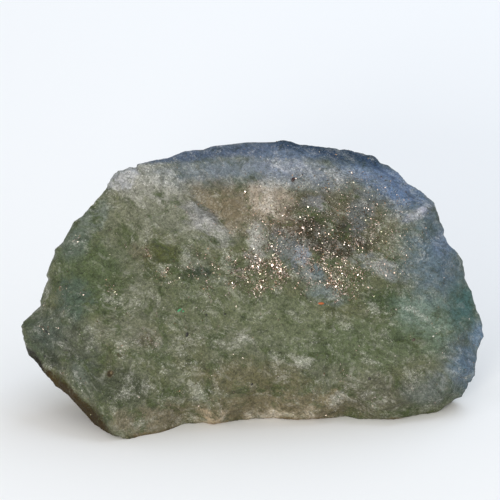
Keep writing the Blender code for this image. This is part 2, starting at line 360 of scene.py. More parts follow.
def face_relief(points):
    """Height of the ledge, the hollow and the rib over the plain face.

    It falls from lip to hollow across the ledge's wall, and each dies away with the distance from
    it. Across the rib it is a bell curve.
    """
    down, right, length = line_position(points, LEDGE_TOP, LEDGE_FOOT)
    right = right + swell(points, LEDGE_WANDER)
    reach = between_ends(down, length, LEDGE_PAST)
    wall = ramp(right, -LEDGE_WALL, LEDGE_WALL)
    height = -HOLLOW_DEPTH * reach * wall * np.exp(-np.clip(right, 0.0, None) / HOLLOW_WIDTH)
    height += LEDGE_LIP * reach * (1.0 - wall) * np.exp(np.clip(right, None, 0.0) / HOLLOW_WIDTH)
    down, right, length = line_position(points, RIB_TOP, RIB_FOOT)
    height += RIB_HEIGHT * between_ends(down, length, RIB_PAST) * np.exp(-(right / RIB_WIDTH) ** 2)
    return height * ramp(points[:, 2], 0.0, RELIEF_RISE)


def layer_steps(points):
    """Sawtooth steps along the mica layers, strong in some patches and gone in others."""
    phase = points @ np.array(LAYER_NORMAL) / STEP_SPACING + swell(points, STEP_WANDER)
    tooth = phase - np.floor(phase)
    patch = ramp(waves(points, *STEP_PATCHES), *PATCH_RANGE)
    return STEP_HEIGHT * patch * (tooth - ramp(tooth, STEP_DROP, 1.0))


def scoop_middles(random, count):
    """Places on the plain block where scoops lie: where random rays from the heart leave it."""
    rays = unit(random.normal(size=(count, 3)) * np.array(SPREAD))
    normals, distances = fracture_planes()
    return rays / ((rays @ normals.T) / distances).max(axis=1)[:, None]


def scoops(points, count, hollow, tilt, seed):
    """Height of the lowest of many tilted bowls side by side.

    A bowl's height is hollow times the squared distance from its middle plus a slope of its own,
    worked out for all bowls at once as a product of the point and bowl tables.
    """
    random = np.random.default_rng(seed)
    middles = scoop_middles(random, count)
    slopes = random.normal(size=(count, 3)) * tilt
    flat_part = (slopes - 2.0 * hollow * middles).T.astype(np.float32)
    still_part = (hollow * middles ** 2 - slopes * middles).sum(axis=1).astype(np.float32)
    lowest = np.empty(len(points), dtype=np.float32)
    for start in range(0, len(points), BLOCK):
        block = points[start:start + BLOCK].astype(np.float32)
        lowest[start:start + BLOCK] = (block @ flat_part + still_part).min(axis=1)
    lowest += hollow * (points ** 2).sum(axis=1)
    return lowest - lowest.mean()


def pushed_out(points, height):
    """Move points along the line from the heart by a height."""
    return points * (1.0 + height / np.linalg.norm(points, axis=1))[:, None]


def stone_points(box_points):
    """Place the box's points on the stone, in the face frame."""
    points = cleaved(unit(to_face(box_points)))
    points = pushed_out(points, swell(points, UNDULATIONS) + scoops(points, *SCOOPS))
    points[:, 2] += face_relief(points)
    fine = layer_steps(points) + scoops(points, *SMALL_SCOOPS) + swell(points, CRUMBS)
    points = pushed_out(points, fine)
    for _ in range(FIT_ROUNDS):
        draw_to_contour(points)
    draw_to_foot(points)
    return points


def set_down(points):
    """Turn the stone to the ground frame, from the heart, with its base flat on the ground."""
    points = to_ground(points)
    return points * (LIFT / np.clip(-points[:, 2], LIFT, None))[:, None]


def mesh_object(name, points, faces, material, attribute, values):
    """A piece from points in millimetres from the heart, with a value or a colour at each."""
    mesh = bpy.data.meshes.new(name)
    mesh.from_pydata(((points + (0.0, 0.0, LIFT)) * MM).tolist(), [], faces.tolist())
    mesh.update()
    kind, field = ("FLOAT", "value") if values.ndim == 1 else ("FLOAT_COLOR", "color")
    mesh.attributes.new(attribute, kind, "POINT").data.foreach_set(field, values.ravel())
    mesh.materials.append(material)
    piece = bpy.data.objects.new(name, mesh)
    bpy.context.scene.collection.objects.link(piece)
    return piece


# Materials

# The numbers of a Mix node's colour sockets, which share their names with its other kinds.
MIX_UNDER, MIX_OVER, MIX_COLOUR = 6, 7, 2


def srgb(red, green, blue):
    """Light of a colour given by its screen values from 0 to 255."""
    share = np.array((red, green, blue)) / 255.0
    light = np.where(share <= 0.04045, share / 12.92, ((share + 0.055) / 1.055) ** 2.4)
    return (*light.tolist(), 1.0)


class Recipe:
    """A material under construction: adds nodes and joins them in one call."""

    def __init__(self, name):
        self.material = bpy.data.materials.new(name)
        self.material.use_nodes = True
        self.tree = self.material.node_tree
        self.shader = self.tree.nodes["Principled BSDF"]

    def finish(self, settings):
        """Feed the shader's own sockets, and hand over the material."""
        for name, value in settings.items():
            self.feed(self.shader.inputs[name], value)
        return self.material

    def add(self, kind, inputs=None, **settings):
        node = self.tree.nodes.new("ShaderNode" + kind)
        for name, value in settings.items():
            setattr(node, name, value)
        for name, value in (inputs or {}).items():
            self.feed(node.inputs[name], value)
        return node

    def feed(self, socket, value):
        if isinstance(value, bpy.types.NodeSocket):
            self.tree.links.new(value, socket)
        else:
            socket.default_value = value

    def math(self, operation, first, second=0.0, clamp=False):
        node = self.add("Math", {0: first, 1: second}, operation=operation, use_clamp=clamp)
        return node.outputs[0]

    def vector(self, operation, first, second=None, scale=None):
        inputs = {0: first}
        if second is not None:
            inputs[1] = second
        if scale is not None:
            inputs["Scale"] = scale
        return self.add("VectorMath", inputs, operation=operation).outputs[0]

    def flat(self, place):
        """Places of the face frame as they are seen square on, without their depth."""
        return self.vector("MULTIPLY", place, (1.0, 1.0, 0.0))

    def noise(self, place, name, output="Fac"):
        """The named noise of NOISES, whose places are in millimetres."""
        size, detail, roughness, *moves = NOISES[name]
        for move in moves:
            place = self.vector("ADD", place, move)
        inputs = {"Vector": place, "Scale": 1.0 / size, "Detail": detail, "Roughness": roughness}
        return self.add("TexNoise", inputs).outputs[output]

    def span(self, value, low, high, to_low=0.0, to_high=1.0):
        """Carry a value from one range to another, smoothly and held at the ends."""
        inputs = {"Value": value, "From Min": low, "From Max": high, "To Min": to_low, "To Max": to_high}
        return self.add("MapRange", inputs, interpolation_type="SMOOTHSTEP").outputs["Result"]

    def cloud(self, place, name):
        """The named noise, carried to the range of the same name."""
        return self.span(self.noise(place, name), *SPANS[name])

    def crossing(self, place, name):
        """How far the named noise is from its middle value."""
        return self.math("ABSOLUTE", self.math("SUBTRACT", self.noise(place, name), 0.5))

    def mix(self, share, under, over, blend="MIX"):
        node = self.add("Mix", data_type="RGBA", blend_type=blend)
        self.feed(node.inputs["Factor"], share)
        self.feed(node.inputs[MIX_UNDER], under)
        self.feed(node.inputs[MIX_OVER], over)
        return node.outputs[MIX_COLOUR]

    def bump(self, height, strength, distance, below=None):
        """A bump whose distance is in metres, on top of the one below where there is one."""
        inputs = {"Height": height, "Strength": strength, "Distance": distance}
        if below is not None:
            inputs["Normal"] = below
        return self.add("Bump", inputs).outputs[0]


# The noises: how wide their lumps are in millimetres, detail, roughness and, where two would show
# the same lumps, how far the second is moved.
NOISES = {
    "drift": (3.4, 4.0, 0.62),
    "bend": (7.0, 2.0, 0.5),
    "broad": (6.0, 4.0, 0.6),
    "deep": (4.0, 4.0, 0.6, (9.0, 4.0, 2.0)),
    "clouds": (1.7, 6.0, 0.68),
    "moss": (2.5, 6.0, 0.68, (31.0, 7.0, 3.0)),
    "light drift": (1.6, 6.0, 0.7),
    "veil": (2.7, 8.0, 0.74),
    "crumbs": (0.30, 3.0, 0.7),
    "mottle": (1.5, 5.0, 0.68, (2.0, 13.0, 21.0)),
    "hair": (1.5, 5.0, 0.6, (5.0, 17.0, 8.0)),
    "curl": (0.9, 4.0, 0.6),
    "broken": (0.8, 4.0, 0.65),
    "speck mottle": (0.12, 3.0, 0.6),
}

# The ranges that values are carried between: from low and high, and to low and high where these
# aren't 0 and 1.
SPANS = {
    "broad": (0.40, 0.60),
    "deep": (0.50, 0.64, 0.0, 0.8),
    "clouds": (0.3, 0.7, 0.55, 1.45),
    "front": (-7.0, -2.0),
    "moss": (0.50, 0.64, 0.0, 0.8),
    "light drift": (0.3, 0.7, 0.7, 1.3),
    "broken": (0.3, 0.7, 0.45, 1.55),
    "grain": (0.0, 1.0, 0.78, 1.22),
    "rough": (0.0, 1.0, 0.34, 0.6),
    "dulled_gloss": (0.0, 0.2, 0.0, 0.5),
    "speck mottle": (0.4, 0.7, 0.0, 0.8),
}

# Broad tints of the stone as seen square on, laid over one another in this order: middle (u, v),
# reach along and across, turn in degrees, colour and, where they aren't the usual ones, strength
# and how soft the edge is. Clouds break up their edges.
USUAL = (0.8, 0.8)
TINTS = {
    "left green": ((-29.0, 2.6), (7.6, 8.6), 0, (83, 97, 64), 0.9, 0.8),
    "left light olive": ((-21.6, 11.0), (6.2, 5.0), 20, (128, 130, 108)),
    "left grey": ((-30.4, -9.0), (7.0, 5.5), -30, (88, 93, 79)),
    "left teal": ((-30.9, -1.7), (4.2, 5.0), 0, (80, 97, 84)),
    "upper grey green": ((-12.0, 12.5), (12.0, 7.0), 0, (128, 130, 112)),
    "inner olive": ((-15.8, 6.2), (6.2, 4.4), 0, (76, 82, 36), 0.85, 1.1),
    "middle green": ((-8.0, -1.0), (12.0, 6.0), -18, (104, 111, 82), 0.7, 0.8),
    "green knot": ((-9.3, 2.8), (2.6, 1.9), 0, (40, 56, 24), 0.8, 0.9),
    "pale upper left": ((-18.5, 18.3), (10.5, 5.0), -4, (144, 144, 133), 0.95, 0.8),
    "pale corner": ((-22.8, 19.2), (3.4, 2.6), 40, (168, 170, 174), 0.8, 0.6),
    "pale left edge": ((-28.0, 12.0), (6.0, 2.6), 50, (114, 124, 112)),
    "left frost": ((-22.0, -7.3), (7.5, 4.0), -12, (118, 120, 100)),
    "warm sprinkle": ((-18.4, -8.4), (3.6, 1.8), -15, (82, 77, 54), 0.7, 0.8),
    "pinkish sprinkle": ((-19.6, 6.8), (3.4, 1.8), -20, (107, 103, 82), 0.7, 0.8),
    "lower left teal": ((-28.5, -14.5), (6.0, 3.6), -42, (68, 79, 64)),
    "lower left green": ((-23.0, -16.5), (7.0, 4.5), -20, (72, 78, 58)),
    "bottom left brown": ((-17.5, -22.4), (9.0, 3.4), 5, (129, 120, 99)),
    "brown hollow": ((-4.6, 14.6), (10.0, 5.6), -30, (127, 120, 99), 0.95, 0.7),
    "deep brown": ((-4.6, 14.2), (4.8, 3.0), -30, (126, 114, 90), 0.7, 0.8),
    "ledge frost": ((-8.4, 12.0), (6.0, 2.6), -41, (132, 132, 128), 1.0, 0.6),
    "ledge end": ((-5.8, 9.4), (2.6, 2.4), -30, (148, 147, 136), 0.9, 0.8),
    "sparkle olive": ((13.4, 12.4), (13.6, 8.2), -8, (98, 96, 74), 0.95, 0.7),
    "dark olive": ((13.2, 9.2), (9.0, 4.0), -14, (56, 55, 4), 1.0, 0.7),
    "brown knot": ((5.4, 12.0), (4.6, 3.2), -20, (99, 85, 66), 0.6, 0.8),
    "cream rib": ((2.3, 15.4), (5.6, 4.4), -14, (173, 160, 143), 0.95, 0.9),
    "rib frost": ((0.9, 8.8), (2.4, 4.6), -4, (148, 148, 140), 0.9, 0.8),
    "upper blue drift": ((10.4, 14.9), (3.2, 1.7), 10, (117, 120, 123)),
    "right blue drift": ((18.6, 13.4), (3.2, 5.4), -20, (98, 106, 110), 0.7, 0.9),
    "blue white": ((6.0, 7.4), (5.0, 3.2), -40, (116, 122, 128), 0.7, 1.0),
    "lower blue white": ((9.8, 2.9), (5.0, 2.8), -35, (78, 88, 89), 0.65, 1.0),
    "blue cloud core": ((8.4, 6.2), (2.2, 2.0), -20, (150, 158, 168), 0.9, 0.9),
    "low blue core": ((10.4, 3.2), (2.2, 1.6), -40, (111, 127, 133), 0.7, 0.9),
    "foot blue core": ((11.8, -0.2), (2.6, 1.4), -10, (127, 141, 152), 0.8, 0.9),
    "low blue green": ((12.4, -0.5), (5.0, 2.3), -15, (115, 126, 121)),
    "right frost": ((22.0, 4.0), (7.0, 2.4), -22, (118, 125, 125), 0.85, 0.8),
    "dark green right": ((22.9, -2.1), (6.0, 3.4), -12, (66, 82, 50), 0.9, 0.8),
    "right green": ((29.6, -5.4), (8.0, 7.0), 0, (113, 134, 121)),
    "green band": ((17.5, -9.0), (18.0, 5.4), -3, (90, 103, 70)),
    "middle band": ((4.5, -5.0), (11.0, 5.6), -8, (112, 119, 91)),
    "lower middle": ((0.0, -15.5), (14.0, 4.6), -5, (106, 102, 74), 0.9, 0.8),
    "bottom brown": ((5.5, -20.5), (22.0, 4.2), 2, (116, 108, 82), 0.95, 0.8),
    # The bottom creams are painted warm light along the bottom edge.
    "bottom cream": ((5.2, -21.9), (8.5, 1.7), 0, (222, 206, 180), 0.9, 1.0),
    "bottom left cream": ((-7.1, -22.2), (4.0, 1.8), 0, (200, 180, 152), 0.8, 0.9),
    "lower right cream": ((13.7, -18.7), (2.8, 2.2), 0, (160, 144, 110)),
    "lower right olive": ((21.0, -18.4), (11.0, 4.0), 3, (93, 93, 74), 0.9, 0.8),
    "lower right blotch": ((31.0, -16.5), (3.0, 3.6), 0, (90, 100, 98)),
}

# Painted light in calm patches, in the same terms: blue sky reflection on the faces that catch the sky,
# darker where it stands for painted shade (top band, right top band, left low shade), and painted
# highlights at the corner, with a few tints of the stone's own (the warmths, left low blue, lower right
# mist). Only a slight drift moves them.
SHEENS_AND_OWN_TINTS = {
    "left tip": ((-36.4, -8.0), (5.6, 6.4), -30, (75, 86, 76), 0.9, 1.25),
    "left low blue": ((-29.8, -14.2), (3.0, 1.7), -55, (99, 106, 94), 0.9, 1.0),
    "left low shade": ((-34.6, -11.9), (3.6, 1.5), -48, (58, 64, 50), 0.8, 1.0),
    "left edge": ((-31.0, 8.0), (3.6, 4.4), -30, (94, 107, 100), 0.6, 0.9),
    "hollow warmth": ((-4.6, 15.2), (8.0, 3.8), -30, (127, 115, 92), 0.55, 1.2),
    "bottom warmth": ((3.0, -20.8), (22.0, 3.0), 1, (122, 113, 90), 0.5, 1.2),
    "top whitish": ((8.0, 20.3), (21.0, 4.6), -4, (127, 136, 150), 0.9, 1.5),
    "left top whitish": ((-7.0, 20.9), (17.0, 4.2), 4, (121, 133, 146), 0.8, 1.5),
    "top light": ((5.6, 21.6), (7.5, 2.4), 0, (132, 142, 160), 0.8, 1.2),
    "top seam": ((6.0, 23.9), (13.0, 1.8), -2, (102, 118, 140), 0.95, 0.8),
    "shoulder blue": ((25.0, 18.4), (13.4, 6.2), -38, (98, 121, 154), 0.95, 1.25),
    "shoulder light": ((18.5, 20.6), (7.0, 2.0), -22, (116, 134, 160), 0.8, 1.25),
    "right facet": ((31.7, 5.2), (8.8, 11.6), 15, (97, 117, 131), 0.95, 1.25),
    "facet light": ((33.0, 8.2), (2.8, 3.8), -20, (106, 124, 148), 0.7, 0.9),
    "teal glow": ((36.8, -2.9), (4.6, 6.4), 10, (74, 107, 104), 1.0, 1.25),
    "lower right grey": ((37.8, -13.2), (7.2, 9.4), 12, (93, 116, 137), 0.95, 1.5),
    "lower right mist": ((29.6, -17.6), (6.0, 3.8), 0, (106, 113, 106), 0.75, 1.2),
    "right end blue": ((40.0, -7.8), (3.4, 4.2), 0, (118, 146, 176), 0.9, 1.5),
    "highlight corner": ((28.4, 13.2), (3.8, 1.2), 24, (122, 130, 144), 0.9, 0.8),
    "highlight tip": ((29.2, 13.9), (1.3, 0.7), 20, (206, 208, 222)),
    "top band": ((-7.0, 41.0), (60.0, 18.8), 7, (80, 96, 120), 0.95, 0.10),
    "right top band": ((14.0, 26.2), (19.0, 4.6), -12, (40, 65, 91), 0.9, 0.7),
}

# Marks in the same terms, moved only slightly and with their edges finely broken: painted shade
# over the undercut, a round pit, lines along the ledge, the facet and the shoulder, and the brown foot.
MARKS = {
    # The undercut rows are painted shade along the lower left edge.
    "undercut": ((-31.9, -18.9), (13.5, 2.3), -43, (65, 54, 4), 0.95, 0.5),
    "undercut rim": ((-34.2, -15.4), (1.8, 0.9), -43, (108, 90, 42), 0.1, 0.9),
    "undercut tip": ((-37.6, -12.0), (3.6, 0.75), -50, (42, 41, 12), 0.9, 0.8),
    "undercut fringe": ((-33.0, -15.2), (2.6, 0.7), -40, (70, 66, 36), 0.5, 0.8),
    "undercut low fringe": ((-27.2, -20.6), (2.4, 0.8), -46, (66, 60, 34), 0.5, 0.8),
    "pit ring": ((-24.5, -14.2), (0.84, 0.84), 0, (104, 98, 78), 0.6, 0.4),
    "pit": ((-24.5, -14.2), (0.62, 0.62), 0, (62, 54, 36), 1.0, 0.3),
    "pit floor": ((-24.3, -14.1), (0.28, 0.34), 0, (122, 108, 82), 0.8, 0.5),
    "ledge line": ((-8.4, 13.9), (6.2, 0.55), -43, (88, 78, 48), 0.2, 0.9),
    "facet crack": ((30.1, 6.2), (2.4, 0.28), 50, (66, 82, 92), 0.5, 0.8),
    "shoulder groove": ((22.0, 21.0), (6.5, 0.35), -34, (60, 78, 104), 0.6, 0.9),
    "foot rim left": ((-14.0, -24.2), (12.0, 0.8), 8, (116, 96, 62), 0.6, 0.9),
    "foot rim middle": ((6.0, -22.6), (13.0, 0.7), 1, (118, 98, 64), 0.6, 0.9),
    "foot rim right": ((24.0, -22.6), (9.0, 0.7), 2, (108, 90, 58), 0.6, 0.9),
}

# Where frost gathers on the face: middle (u, v), reach along and across, turn, and strength. A
# strength below zero keeps frost away. The frost at the highlight corner and along the bottom edge
# brightens the painted highlight and the painted warm light there.
FROSTED = [
    ((-18.5, 18.8), (9.0, 3.4), -4, 0.9), ((-8.4, 12.2), (5.4, 2.2), -41, 1.05),
    ((2.4, 16.2), (3.4, 4.2), -8, 0.9), ((0.3, 7.8), (2.0, 4.0), -6, 0.9),
    ((-5.6, 9.8), (2.8, 2.4), -35, 1.0), ((-18.7, -16.8), (1.6, 2.6), 15, 1.0),
    ((-9.7, -17.9), (4.2, 1.5), -28, 1.0), ((-0.9, -8.3), (2.8, 1.7), -20, 0.9),
    ((4.3, 18.0), (3.6, 1.4), 0, 0.9), ((-22.6, -11.1), (2.2, 1.5), -30, 1.0),
    ((-12.0, -8.8), (2.4, 1.7), 0, 0.6), ((-15.3, 3.1), (2.2, 1.8), -30, 0.8),
    ((-10.8, 4.5), (3.0, 2.2), 30, 0.8), ((-4.7, 4.0), (2.4, 2.8), 10, 0.9),
    ((4.0, -12.1), (2.0, 1.6), 0, 1.0), ((9.0, -12.1), (2.8, 1.1), -5, 1.0),
    ((20.0, -12.3), (3.6, 1.3), 5, 1.0), ((14.2, -18.9), (3.0, 2.1), 10, 1.0),
    ((22.0, 4.0), (6.0, 2.0), -22, 0.9), ((5.2, -21.9), (8.0, 1.4), 0, 1.0),
    ((28.4, 13.2), (4.0, 1.9), 15, 0.5), ((11.0, 20.0), (16.0, 2.2), -5, 0.5),
    ((9.8, 2.9), (4.4, 2.2), -35, 0.6), ((-28.2, -10.4), (1.4, 1.2), -40, 0.8),
    ((36.0, -3.0), (5.5, 7.0), 10, -0.8), ((-26.5, 12.5), (4.0, 1.4), 45, 0.3),
    ((-24.2, -1.1), (2.6, 1.4), -10, 0.6), ((-30.3, 7.8), (2.2, 1.0), 10, 0.9),
    ((22.9, 12.7), (3.6, 1.1), 15, 0.8), ((-30.6, -14.0), (1.6, 1.0), -40, 0.6),
    ((-25.6, -16.6), (3.0, 2.2), 0, -1.2), ((-2.6, 8.5), (2.0, 1.5), 0, -1.0),
    ((-29.0, 4.0), (8.0, 12.0), -20, -0.7), ((27.5, -8.2), (5.0, 3.6), 0, -0.7),
    ((-26.4, -11.8), (6.0, 4.4), -30, -0.5), ((-15.8, 6.0), (4.0, 3.0), 0, -0.7),
    ((-9.4, 2.7), (2.4, 1.8), 0, -0.6),
]

# The named colours are as they are seen: the stone's own colour is what is left of them without the
# pale gloss, over a light that is brighter than one.
SEEN_SHARE = 0.79
GLOSS = (0.012, 0.013, 0.013)
DARKEST = 0.004
OLIVE = (100, 104, 74)
GREY_GREEN = (110, 114, 92)
DEEP_GREEN = (76, 88, 54)
MOSS = (74, 86, 50)

# How far the streaks are turned on the face, how streaks and clouds are stretched, and how wide the
# places drift and bend, in millimetres.
STREAK_TURN = math.radians(27.0)
STREAK_STRETCH = (0.55, 1.0, 0.8)
CLOUD_STRETCH = (0.72, 1.0, 0.85)
WIDE_DRIFT = 6.0
SLIGHT_DRIFT = 1.2
BEND = 6.0

# The share of an ellipse in which its tint comes up, and what a frosted place adds to the veil.
EDGE_SHARE = 0.7
FROST_GATHERED = 0.19

# Frost (SCREEN) adds a share of light and dark grain (MULTIPLY) leaves one. They are laid over one
# another in this order: what they follow, each with its range, the share and the way.
FROST_LIFT = (0.168, 0.163, 0.152, 1.0)
DEEP_SHADE = (0.42, 0.43, 0.36, 1.0)
GRAINS = [
    ([("mottle", 0.53, 0.66, 0.0, 0.95)], (0.56, 0.59, 0.50, 1.0), "MULTIPLY"),
    ([("mottle", 0.34, 0.47, 0.5, 0.0)], FROST_LIFT, "SCREEN"),
    ([("veil", 0.53, 0.72, 0.0, 0.7)], FROST_LIFT, "SCREEN"),
    ([("hair", 0.0, 0.016, 0.8, 0.0)], (0.48, 0.50, 0.44, 1.0), "MULTIPLY"),
    ([("curl", 0.0, 0.03, 1.0, 0.0), ("veil", 0.46, 0.64, 0.06, 0.8)], (0.24, 0.235, 0.21, 1.0), "SCREEN"),
    ([("crumbs", 0.56, 0.70), ("veil", 0.48, 0.66, 0.12, 1.0)], (0.40, 0.39, 0.355, 1.0), "SCREEN"),
    ([("crumbs", 0.30, 0.46, 1.0, 0.0), ("veil", 0.38, 0.6, 0.75, 0.65)], DEEP_SHADE, "MULTIPLY"),
]

# The sugary grain's size in millimetres, and the strength and distance in metres of each bump.
GRAIN_SIZE = 0.29
VEIL_BUMP = (0.7, 0.0005)
GRAIN_BUMP = (0.6, 0.00012)
STONE_FINISH = {
    "Specular IOR Level": 0.3,
    "Subsurface Weight": 0.15,
    "Subsurface Radius": (1.0, 1.2, 0.9),
    "Subsurface Scale": 0.0006,
}


def tint(colour):
    """The stone's own colour for a colour as it is seen."""
    light = (np.array(srgb(*colour)[:3]) - GLOSS) * SEEN_SHARE
    return (*light.clip(DARKEST).tolist(), 1.0)


def drift_of(r, place, name):
    """The named noise as a move of up to half a unit each way."""
    return r.vector("SUBTRACT", r.noise(place, name, "Color"), (0.5, 0.5, 0.5))


def moved(r, place, move, width):
    return r.vector("ADD", place, r.vector("SCALE", move, scale=width))


def stone_places(r):
    """Places in millimetres: the face frame, the same along the streaks, with wide and with slight
    drift added, and along streaks that bend."""
    ground = r.add("TexCoord").outputs["Object"]
    sink = (0.0, -LIFT * math.cos(LEAN), -LIFT * math.sin(LEAN))
    inputs = {"Vector": ground, "Scale": (1.0 / MM, 1.0 / MM, 1.0 / MM),
              "Rotation": (LEAN - math.pi / 2, 0.0, 0.0), "Location": sink}
    face = r.add("Mapping", inputs, vector_type="POINT").outputs[0]
    inputs = {"Vector": face, "Rotation": (0.0, 0.0, STREAK_TURN)}
    turned = r.add("Mapping", inputs, vector_type="POINT").outputs[0]
    streaks = r.vector("MULTIPLY", turned, STREAK_STRETCH)
    drift = drift_of(r, streaks, "drift")
    ragged = moved(r, face, drift, WIDE_DRIFT)
    calm = moved(r, face, drift, SLIGHT_DRIFT)
    bent = moved(r, turned, drift_of(r, turned, "bend"), BEND)
    return face, streaks, ragged, calm, r.vector("MULTIPLY", bent, CLOUD_STRETCH)


def patch_mask(r, seen, place, reach, turn):
    """One in the middle of an ellipse on the face, falling evenly to zero at its edge."""
    inputs = {"Vector": seen, "Location": (*place, 0.0), "Rotation": (0.0, 0.0, math.radians(turn)),
              "Scale": (*reach, 1.0)}
    inside = r.add("Mapping", inputs, vector_type="TEXTURE").outputs[0]
    return r.add("TexGradient", {"Vector": inside}, gradient_type="SPHERICAL").outputs["Fac"]


def laid_over(r, colour, place, tints, clouds):
    """Lay named tints over a colour, each a soft ellipse on the face broken up by the clouds."""
    seen = r.flat(place)
    for middle, reach, turn, shade, *own in tints.values():
        strength, softness = own or USUAL
        mask = r.math("MULTIPLY", patch_mask(r, seen, middle, reach, turn), clouds)
        share = r.span(mask, 0.0, EDGE_SHARE * softness, 0.0, strength)
        colour = r.mix(share, colour, tint(shade))
    return colour


def mineral_colour(r, face, streaks, ragged, calm, cloudy):
    """Cloudy greens all over, with the named tints, and the painted sky sheens and shade, laid over the side
    that is seen.
    """
    general = r.mix(r.cloud(streaks, "broad"), tint(OLIVE), tint(GREY_GREEN))
    general = r.mix(r.cloud(ragged, "deep"), general, tint(DEEP_GREEN))
    front = r.span(r.add("SeparateXYZ", {0: ragged}).outputs[2], *SPANS["front"])
    tinted = laid_over(r, general, ragged, TINTS, r.cloud(face, "clouds"))
    colour = r.mix(front, general, tinted)
    colour = r.mix(r.cloud(cloudy, "moss"), colour, tint(MOSS))
    facing = r.add("Attribute", attribute_name="facing").outputs["Fac"]
    # The painted sky sheens and shade show only where the surface faces the seen side.
    sheened = laid_over(r, colour, calm, SHEENS_AND_OWN_TINTS, r.cloud(streaks, "light drift"))
    return r.mix(facing, colour, sheened), front


def frosted(r, colour, face, ragged, cloudy):
    """White frost in soft clouds, with curls and crumbs of it in their middles, and dark grain.

    Curls and dark hairlines follow the places where a noise crosses its middle value.
    """
    veil = r.noise(cloudy, "veil")
    seen = r.flat(ragged)
    for place, reach, turn, strength in FROSTED:
        gathered = r.math("MULTIPLY", patch_mask(r, seen, place, reach, turn), FROST_GATHERED * strength)
        veil = r.math("ADD", veil, gathered)
    values = {"veil": veil, "crumbs": r.noise(face, "crumbs"), "mottle": r.noise(cloudy, "mottle"),
              "hair": r.crossing(cloudy, "hair"), "curl": r.crossing(ragged, "curl")}
    for followed, light, blend in GRAINS:
        share, *others = [r.span(values[name], *ends) for name, *ends in followed]
        for other in others:
            share = r.math("MULTIPLY", share, other)
        colour = r.mix(share, colour, light, blend)
    return colour, veil, values["crumbs"]


def stone_material():
    r = Recipe("aventurine")
    face, streaks, ragged, calm, cloudy = stone_places(r)
    colour, front = mineral_colour(r, face, streaks, ragged, calm, cloudy)
    colour, veil, crumbs = frosted(r, colour, face, ragged, cloudy)
    colour = r.mix(front, colour, laid_over(r, colour, calm, MARKS, r.cloud(face, "broken")))
    cells = r.add("TexVoronoi", {"Vector": face, "Scale": 1.0 / GRAIN_SIZE}).outputs
    lot = r.add("SeparateColor", {"Color": cells["Color"]}).outputs
    grain = r.span(lot[0], *SPANS["grain"])
    grey = r.add("CombineColor", {"Red": grain, "Green": grain, "Blue": grain}).outputs[0]
    colour = r.mix(1.0, colour, grey, "MULTIPLY")
    rough = r.span(lot[2], *SPANS["rough"])
    # The painted shade of the undercut and of the right top band is made rougher, so it glosses less.
    seen = r.flat(calm)
    for middle, reach, turn, *_ in (MARKS["undercut"], SHEENS_AND_OWN_TINTS["right top band"]):
        dulled_gloss = r.span(patch_mask(r, seen, middle, reach, turn), *SPANS["dulled_gloss"])
        rough = r.math("ADD", rough, dulled_gloss, clamp=True)
    bump = r.bump(veil, *VEIL_BUMP)
    bump = r.bump(r.math("ADD", cells["Distance"], crumbs), *GRAIN_BUMP, bump)
    return r.finish({"Base Color": colour, "Roughness": rough, "Normal": bump, **STONE_FINISH})


# Mica plates: how many, how wide, how much their widths differ, and the widest over the usual.
MICA_SEED = 5
MICA_COUNT = 9000
MICA_WIDTH = 0.118
MICA_WIDTH_SPREAD = 0.45
MICA_WIDEST = 2.2

# The way the plates face, how far they stray, how much they turn out with the surface, and how much
# they do at the least.
MICA_NORMAL = (-0.13, -0.04, 0.99)
MICA_STRAY = 0.40
MICA_TURN_OUT = 0.4
MICA_LEAST_OUT = 0.5

# A plate is a ring of corners. In half widths: how far they reach, how long and wide the ring is
# drawn, how far it stands proud and how deep its point is sunk. Corners stray by an angle.
RING = 6
CORNER_STRAY = 0.3
CORNER_REACH = (0.7, 1.15)
PLATE_LONG = 1.5
PLATE_WIDE = 0.68
PLATE_PROUD = 0.35
PLATE_SUNK = 0.8

# How thick the plates lie: outside the swarms, in clumps (wavelength, height and seed), and in each
# swarm (middle, reach and weight). They keep some widths off the ground.
MICA_ELSEWHERE = 0.002
MICA_CLUMPING = 1.2
MICA_CLUMPS = [(2.6, 1.0, 81), (1.1, 1.0, 82)]
MICA_OFF_GROUND = 3.0
MICA_SWARMS = {
    "wide field": ((13.5, 9.8), (11.5, 7.8), 0.36),
    "brown knot": ((6.0, 11.6), (4.0, 3.6), 0.7),
    "upper right": ((18.0, 15.6), (4.4, 3.6), 0.35),
    "right drift": ((23.6, 6.4), (3.4, 3.6), 0.4),
    "low right": ((15.6, 1.6), (3.6, 3.4), 0.3),
    "low left": ((0.8, 3.4), (5.0, 4.0), 0.2),
    "rib dust": ((1.0, 14.6), (2.4, 3.4), 0.4),
    "left sprinkle": ((-6.0, 3.0), (9.0, 4.0), 0.04),
}

